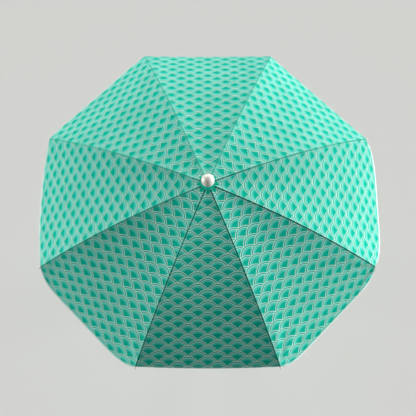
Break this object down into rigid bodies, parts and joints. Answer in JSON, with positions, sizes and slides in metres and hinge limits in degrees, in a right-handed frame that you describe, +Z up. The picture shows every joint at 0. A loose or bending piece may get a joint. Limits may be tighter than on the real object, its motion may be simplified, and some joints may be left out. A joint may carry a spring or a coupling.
{
  "type": "beach umbrella",
  "caption": "Folding beach umbrella with a shallow eight-sided fabric canopy, ball finial, sliding runner, tilt joint and telescoping pole with a ground spike.",
  "frame": {"origin": "point of the ground spike, on the pole's axis", "axes": "+Z up along the pole towards the finial; ribs at 22.5 degrees and every 45 degrees from +X, so a gore faces each of +X, +Y, -X and -Y"},
  "size_m": [1.4072, 1.4072, 1.9996],
  "materials": {
    "canopy_fabric": "woven polyester, satin, fan-scale print in teal and mint",
    "finial_gloss": "glossy moulded",
    "white_plastic": "satin moulded",
    "grey_plastic": "satin moulded",
    "white_enamel": "white enamel",
    "rib_steel": "white painted wire",
    "zinc_steel": "zinc plated"
  },
  "bodies": {
    "ground_pole": {"ground_spike": "white_plastic", "pole_lower": "white_enamel", "lock_collar": "white_plastic"},
    "knob": {"height_knob": "white_plastic"},
    "mast_lower": {"pole_middle": "white_enamel", "pole_end_plug": "white_plastic", "tilt_yoke": "white_plastic", "tilt_pin": "zinc_steel", "tilt_button_spring": "zinc_steel"},
    "button": {"tilt_button": "grey_plastic"},
    "mast_upper": {"tilt_knuckle": "white_plastic", "pole_upper": "white_enamel", "hub_crown": "white_plastic", "hub_ring_wire": "zinc_steel", "ball_finial": "finial_gloss", "finial_screw": "zinc_steel", "crown_patch": "canopy_fabric", "catch_spring": "zinc_steel"},
    "catch": {"runner_catch": "zinc_steel"},
    "runner": {"runner": "white_plastic"},
    "rib_01": {"rib_01": "rib_steel", "rib_tip_01": "white_plastic"},
    "stretcher_01": {"stretcher_01": "rib_steel"},
    "gore_01_left": {"canopy_01_left": "canopy_fabric"},
    "gore_01_right": {"canopy_01_right": "canopy_fabric"},
    "rib_02": {"rib_02": "rib_steel", "rib_tip_02": "white_plastic"},
    "stretcher_02": {"stretcher_02": "rib_steel"},
    "gore_02_left": {"canopy_02_left": "canopy_fabric"},
    "gore_02_right": {"canopy_02_right": "canopy_fabric"},
    "rib_03": {"rib_03": "rib_steel", "rib_tip_03": "white_plastic"},
    "stretcher_03": {"stretcher_03": "rib_steel"},
    "gore_03_left": {"canopy_03_left": "canopy_fabric"},
    "gore_03_right": {"canopy_03_right": "canopy_fabric"},
    "rib_04": {"rib_04": "rib_steel", "rib_tip_04": "white_plastic"},
    "stretcher_04": {"stretcher_04": "rib_steel"},
    "gore_04_left": {"canopy_04_left": "canopy_fabric"},
    "gore_04_right": {"canopy_04_right": "canopy_fabric"},
    "rib_05": {"rib_05": "rib_steel", "rib_tip_05": "white_plastic"},
    "stretcher_05": {"stretcher_05": "rib_steel"},
    "gore_05_left": {"canopy_05_left": "canopy_fabric"},
    "gore_05_right": {"canopy_05_right": "canopy_fabric"},
    "rib_06": {"rib_06": "rib_steel", "rib_tip_06": "white_plastic"},
    "stretcher_06": {"stretcher_06": "rib_steel"},
    "gore_06_left": {"canopy_06_left": "canopy_fabric"},
    "gore_06_right": {"canopy_06_right": "canopy_fabric"},
    "rib_07": {"rib_07": "rib_steel", "rib_tip_07": "white_plastic"},
    "stretcher_07": {"stretcher_07": "rib_steel"},
    "gore_07_left": {"canopy_07_left": "canopy_fabric"},
    "gore_07_right": {"canopy_07_right": "canopy_fabric"},
    "rib_08": {"rib_08": "rib_steel", "rib_tip_08": "white_plastic"},
    "stretcher_08": {"stretcher_08": "rib_steel"},
    "gore_08_left": {"canopy_08_left": "canopy_fabric"},
    "gore_08_right": {"canopy_08_right": "canopy_fabric"}
  },
  "joints": [
    {"name": "pole_height", "type": "slide", "parent": "ground_pole", "child": "mast_lower", "axis": [0, 0, -1], "range_m": [0, 0.2]},
    {"name": "height_knob_turn", "type": "hinge", "parent": "ground_pole", "child": "knob", "pos_m": [0.03, 0, 0.732], "axis": [1, 0, 0], "range_deg": [0, 180]},
    {"name": "tilt", "type": "hinge", "parent": "mast_lower", "child": "mast_upper", "pos_m": [0, 0, 1.06], "axis": [0, 1, 0], "range_deg": [0, 35]},
    {"name": "tilt_button_press", "type": "slide", "parent": "mast_lower", "child": "button", "axis": [-1, 0, 0], "range_m": [0, 0.004], "stiffness_N_per_m": 400, "springref_m": -0.001, "deforming": ["tilt_button_spring"]},
    {"name": "runner_catch_press", "type": "slide", "parent": "mast_upper", "child": "catch", "axis": [-1, 0, 0], "range_m": [0, 0.0044], "stiffness_N_per_m": 300, "springref_m": -0.001, "deforming": ["catch_spring"]},
    {"name": "runner_slide", "type": "slide", "parent": "mast_upper", "child": "runner", "axis": [0, 0, -1], "range_m": [0, 0.594]},
    {"name": "rib_hinge_01", "type": "hinge", "parent": "mast_upper", "child": "rib_01", "pos_m": [0.01571, 0.00651, 1.9282], "axis": [-0.3827, 0.9239, 0], "range_deg": [0, 70.2]},
    {"name": "stretcher_hinge_01", "type": "hinge", "parent": "rib_01", "child": "stretcher_01", "pos_m": [0.34484, 0.14284, 1.87079], "axis": [-0.3827, 0.9239, 0], "range_deg": [-140.4, 0]},
    {"name": "fold_01_left", "type": "hinge", "parent": "rib_01", "child": "gore_01_left", "pos_m": [-0.01509, -0.00625, 1.8136], "axis": [0.9041, 0.3745, -0.206], "range_deg": [0, 60.5], "deforming": ["canopy_01_left"]},
    {"name": "fold_01_right", "type": "hinge", "parent": "rib_01", "child": "gore_01_right", "pos_m": [-0.01509, -0.00625, 1.8136], "axis": [-0.9041, -0.3745, 0.206], "range_deg": [0, 60.5], "deforming": ["canopy_01_right"]},
    {"name": "rib_hinge_02", "type": "hinge", "parent": "mast_upper", "child": "rib_02", "pos_m": [0.00651, 0.01571, 1.9282], "axis": [-0.9239, 0.3827, 0], "range_deg": [0, 70.2]},
    {"name": "stretcher_hinge_02", "type": "hinge", "parent": "rib_02", "child": "stretcher_02", "pos_m": [0.14284, 0.34484, 1.87079], "axis": [-0.9239, 0.3827, 0], "range_deg": [-140.4, 0]},
    {"name": "fold_02_left", "type": "hinge", "parent": "rib_02", "child": "gore_02_left", "pos_m": [-0.00625, -0.01509, 1.8136], "axis": [0.3745, 0.9041, -0.206], "range_deg": [0, 60.5], "deforming": ["canopy_02_left"]},
    {"name": "fold_02_right", "type": "hinge", "parent": "rib_02", "child": "gore_02_right", "pos_m": [-0.00625, -0.01509, 1.8136], "axis": [-0.3745, -0.9041, 0.206], "range_deg": [0, 60.5], "deforming": ["canopy_02_right"]},
    {"name": "rib_hinge_03", "type": "hinge", "parent": "mast_upper", "child": "rib_03", "pos_m": [-0.00651, 0.01571, 1.9282], "axis": [-0.9239, -0.3827, 0], "range_deg": [0, 70.2]},
    {"name": "stretcher_hinge_03", "type": "hinge", "parent": "rib_03", "child": "stretcher_03", "pos_m": [-0.14284, 0.34484, 1.87079], "axis": [-0.9239, -0.3827, 0], "range_deg": [-140.4, 0]},
    {"name": "fold_03_left", "type": "hinge", "parent": "rib_03", "child": "gore_03_left", "pos_m": [0.00625, -0.01509, 1.8136], "axis": [-0.3745, 0.9041, -0.206], "range_deg": [0, 60.5], "deforming": ["canopy_03_left"]},
    {"name": "fold_03_right", "type": "hinge", "parent": "rib_03", "child": "gore_03_right", "pos_m": [0.00625, -0.01509, 1.8136], "axis": [0.3745, -0.9041, 0.206], "range_deg": [0, 60.5], "deforming": ["canopy_03_right"]},
    {"name": "rib_hinge_04", "type": "hinge", "parent": "mast_upper", "child": "rib_04", "pos_m": [-0.01571, 0.00651, 1.9282], "axis": [-0.3827, -0.9239, 0], "range_deg": [0, 70.2]},
    {"name": "stretcher_hinge_04", "type": "hinge", "parent": "rib_04", "child": "stretcher_04", "pos_m": [-0.34484, 0.14284, 1.87079], "axis": [-0.3827, -0.9239, 0], "range_deg": [-140.4, 0]},
    {"name": "fold_04_left", "type": "hinge", "parent": "rib_04", "child": "gore_04_left", "pos_m": [0.01509, -0.00625, 1.8136], "axis": [-0.9041, 0.3745, -0.206], "range_deg": [0, 60.5], "deforming": ["canopy_04_left"]},
    {"name": "fold_04_right", "type": "hinge", "parent": "rib_04", "child": "gore_04_right", "pos_m": [0.01509, -0.00625, 1.8136], "axis": [0.9041, -0.3745, 0.206], "range_deg": [0, 60.5], "deforming": ["canopy_04_right"]},
    {"name": "rib_hinge_05", "type": "hinge", "parent": "mast_upper", "child": "rib_05", "pos_m": [-0.01571, -0.00651, 1.9282], "axis": [0.3827, -0.9239, 0], "range_deg": [0, 70.2]},
    {"name": "stretcher_hinge_05", "type": "hinge", "parent": "rib_05", "child": "stretcher_05", "pos_m": [-0.34484, -0.14284, 1.87079], "axis": [0.3827, -0.9239, 0], "range_deg": [-140.4, 0]},
    {"name": "fold_05_left", "type": "hinge", "parent": "rib_05", "child": "gore_05_left", "pos_m": [0.01509, 0.00625, 1.8136], "axis": [-0.9041, -0.3745, -0.206], "range_deg": [0, 60.5], "deforming": ["canopy_05_left"]},
    {"name": "fold_05_right", "type": "hinge", "parent": "rib_05", "child": "gore_05_right", "pos_m": [0.01509, 0.00625, 1.8136], "axis": [0.9041, 0.3745, 0.206], "range_deg": [0, 60.5], "deforming": ["canopy_05_right"]},
    {"name": "rib_hinge_06", "type": "hinge", "parent": "mast_upper", "child": "rib_06", "pos_m": [-0.00651, -0.01571, 1.9282], "axis": [0.9239, -0.3827, 0], "range_deg": [0, 70.2]},
    {"name": "stretcher_hinge_06", "type": "hinge", "parent": "rib_06", "child": "stretcher_06", "pos_m": [-0.14284, -0.34484, 1.87079], "axis": [0.9239, -0.3827, 0], "range_deg": [-140.4, 0]},
    {"name": "fold_06_left", "type": "hinge", "parent": "rib_06", "child": "gore_06_left", "pos_m": [0.00625, 0.01509, 1.8136], "axis": [-0.3745, -0.9041, -0.206], "range_deg": [0, 60.5], "deforming": ["canopy_06_left"]},
    {"name": "fold_06_right", "type": "hinge", "parent": "rib_06", "child": "gore_06_right", "pos_m": [0.00625, 0.01509, 1.8136], "axis": [0.3745, 0.9041, 0.206], "range_deg": [0, 60.5], "deforming": ["canopy_06_right"]},
    {"name": "rib_hinge_07", "type": "hinge", "parent": "mast_upper", "child": "rib_07", "pos_m": [0.00651, -0.01571, 1.9282], "axis": [0.9239, 0.3827, 0], "range_deg": [0, 70.2]},
    {"name": "stretcher_hinge_07", "type": "hinge", "parent": "rib_07", "child": "stretcher_07", "pos_m": [0.14284, -0.34484, 1.87079], "axis": [0.9239, 0.3827, 0], "range_deg": [-140.4, 0]},
    {"name": "fold_07_left", "type": "hinge", "parent": "rib_07", "child": "gore_07_left", "pos_m": [-0.00625, 0.01509, 1.8136], "axis": [0.3745, -0.9041, -0.206], "range_deg": [0, 60.5], "deforming": ["canopy_07_left"]},
    {"name": "fold_07_right", "type": "hinge", "parent": "rib_07", "child": "gore_07_right", "pos_m": [-0.00625, 0.01509, 1.8136], "axis": [-0.3745, 0.9041, 0.206], "range_deg": [0, 60.5], "deforming": ["canopy_07_right"]},
    {"name": "rib_hinge_08", "type": "hinge", "parent": "mast_upper", "child": "rib_08", "pos_m": [0.01571, -0.00651, 1.9282], "axis": [0.3827, 0.9239, 0], "range_deg": [0, 70.2]},
    {"name": "stretcher_hinge_08", "type": "hinge", "parent": "rib_08", "child": "stretcher_08", "pos_m": [0.34484, -0.14284, 1.87079], "axis": [0.3827, 0.9239, 0], "range_deg": [-140.4, 0]},
    {"name": "fold_08_left", "type": "hinge", "parent": "rib_08", "child": "gore_08_left", "pos_m": [-0.01509, 0.00625, 1.8136], "axis": [0.9041, -0.3745, -0.206], "range_deg": [0, 60.5], "deforming": ["canopy_08_left"]},
    {"name": "fold_08_right", "type": "hinge", "parent": "rib_08", "child": "gore_08_right", "pos_m": [-0.01509, 0.00625, 1.8136], "axis": [-0.9041, 0.3745, 0.206], "range_deg": [0, 60.5], "deforming": ["canopy_08_right"]}
  ],
  "couplings": [
    {"joint": "rib_hinge_01", "follows": "runner_slide", "rad_per_m": 2.0568},
    {"joint": "stretcher_hinge_01", "follows": "runner_slide", "rad_per_m": -4.1136},
    {"joint": "fold_01_left", "follows": "runner_slide", "rad_per_m": 1.7718},
    {"joint": "fold_01_right", "follows": "runner_slide", "rad_per_m": 1.7718},
    {"joint": "rib_hinge_02", "follows": "runner_slide", "rad_per_m": 2.0568},
    {"joint": "stretcher_hinge_02", "follows": "runner_slide", "rad_per_m": -4.1136},
    {"joint": "fold_02_left", "follows": "runner_slide", "rad_per_m": 1.7718},
    {"joint": "fold_02_right", "follows": "runner_slide", "rad_per_m": 1.7718},
    {"joint": "rib_hinge_03", "follows": "runner_slide", "rad_per_m": 2.0568},
    {"joint": "stretcher_hinge_03", "follows": "runner_slide", "rad_per_m": -4.1136},
    {"joint": "fold_03_left", "follows": "runner_slide", "rad_per_m": 1.7718},
    {"joint": "fold_03_right", "follows": "runner_slide", "rad_per_m": 1.7718},
    {"joint": "rib_hinge_04", "follows": "runner_slide", "rad_per_m": 2.0568},
    {"joint": "stretcher_hinge_04", "follows": "runner_slide", "rad_per_m": -4.1136},
    {"joint": "fold_04_left", "follows": "runner_slide", "rad_per_m": 1.7718},
    {"joint": "fold_04_right", "follows": "runner_slide", "rad_per_m": 1.7718},
    {"joint": "rib_hinge_05", "follows": "runner_slide", "rad_per_m": 2.0568},
    {"joint": "stretcher_hinge_05", "follows": "runner_slide", "rad_per_m": -4.1136},
    {"joint": "fold_05_left", "follows": "runner_slide", "rad_per_m": 1.7718},
    {"joint": "fold_05_right", "follows": "runner_slide", "rad_per_m": 1.7718},
    {"joint": "rib_hinge_06", "follows": "runner_slide", "rad_per_m": 2.0568},
    {"joint": "stretcher_hinge_06", "follows": "runner_slide", "rad_per_m": -4.1136},
    {"joint": "fold_06_left", "follows": "runner_slide", "rad_per_m": 1.7718},
    {"joint": "fold_06_right", "follows": "runner_slide", "rad_per_m": 1.7718},
    {"joint": "rib_hinge_07", "follows": "runner_slide", "rad_per_m": 2.0568},
    {"joint": "stretcher_hinge_07", "follows": "runner_slide", "rad_per_m": -4.1136},
    {"joint": "fold_07_left", "follows": "runner_slide", "rad_per_m": 1.7718},
    {"joint": "fold_07_right", "follows": "runner_slide", "rad_per_m": 1.7718},
    {"joint": "rib_hinge_08", "follows": "runner_slide", "rad_per_m": 2.0568},
    {"joint": "stretcher_hinge_08", "follows": "runner_slide", "rad_per_m": -4.1136},
    {"joint": "fold_08_left", "follows": "runner_slide", "rad_per_m": 1.7718},
    {"joint": "fold_08_right", "follows": "runner_slide", "rad_per_m": 1.7718}
  ]
}
